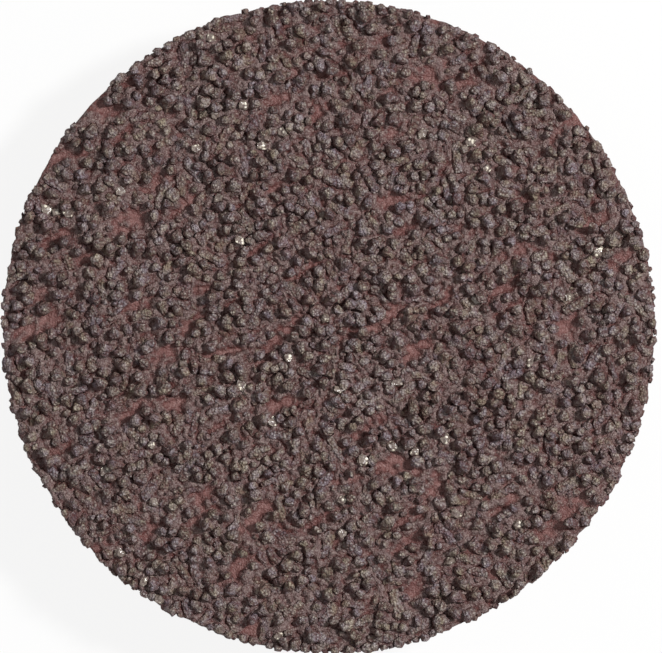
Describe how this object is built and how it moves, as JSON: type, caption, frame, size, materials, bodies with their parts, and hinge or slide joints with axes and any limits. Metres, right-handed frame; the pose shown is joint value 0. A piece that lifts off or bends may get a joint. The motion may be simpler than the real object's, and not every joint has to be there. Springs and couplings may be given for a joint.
{
  "type": "quick-change abrasive carving disc",
  "caption": "Round coarse-grit abrasive disc on laminated cloth, with a threaded nylon stud on its back for a small angle grinder's pad.",
  "frame": {"origin": "centre of the disc's back face, where it bears on the tool's pad", "axes": "+Z along the spin axis, from the tool towards the work; X and Y lie in the back face"},
  "size_m": [0.0514, 0.0514, 0.0096],
  "materials": {
    "stiffener_cloth": "resin-filled plain-weave cloth, matt",
    "laminating_film": "thin amber adhesive line at the edge",
    "face_cloth": "resin-filled twill cloth, seen at the cut edge",
    "make_resin": "dark brown cured resin, seen at the cut edge",
    "size_resin": "red-brown cured resin, slightly glossy, streaked",
    "hot_glue": "amber glue bead",
    "nylon": "natural moulded nylon, satin",
    "crystal_grain": "pale glassy fused crystal with dark resin on it",
    "ceramic_grain": "dark grey-brown sintered ceramic rods under a thin resin film"
  },
  "bodies": {
    "root": {"ceramic_grains_01": "ceramic_grain", "ceramic_grains_02": "ceramic_grain", "ceramic_grains_03": "ceramic_grain", "ceramic_grains_04": "ceramic_grain", "ceramic_grains_05": "ceramic_grain", "ceramic_grains_06": "ceramic_grain", "ceramic_grains_07": "ceramic_grain", "ceramic_grains_08": "ceramic_grain", "ceramic_grains_09": "ceramic_grain", "ceramic_grains_10": "ceramic_grain", "ceramic_grains_11": "ceramic_grain", "ceramic_grains_12": "ceramic_grain", "crystal_grains": "crystal_grain", "face_cloth": "face_cloth", "laminating_adhesive": "laminating_film", "make_coat": "make_resin", "quick_change_stud": "nylon", "size_coat": "size_resin", "stiffener_ply": "stiffener_cloth", "stud_glue": "hot_glue"}
  },
  "joints": []
}
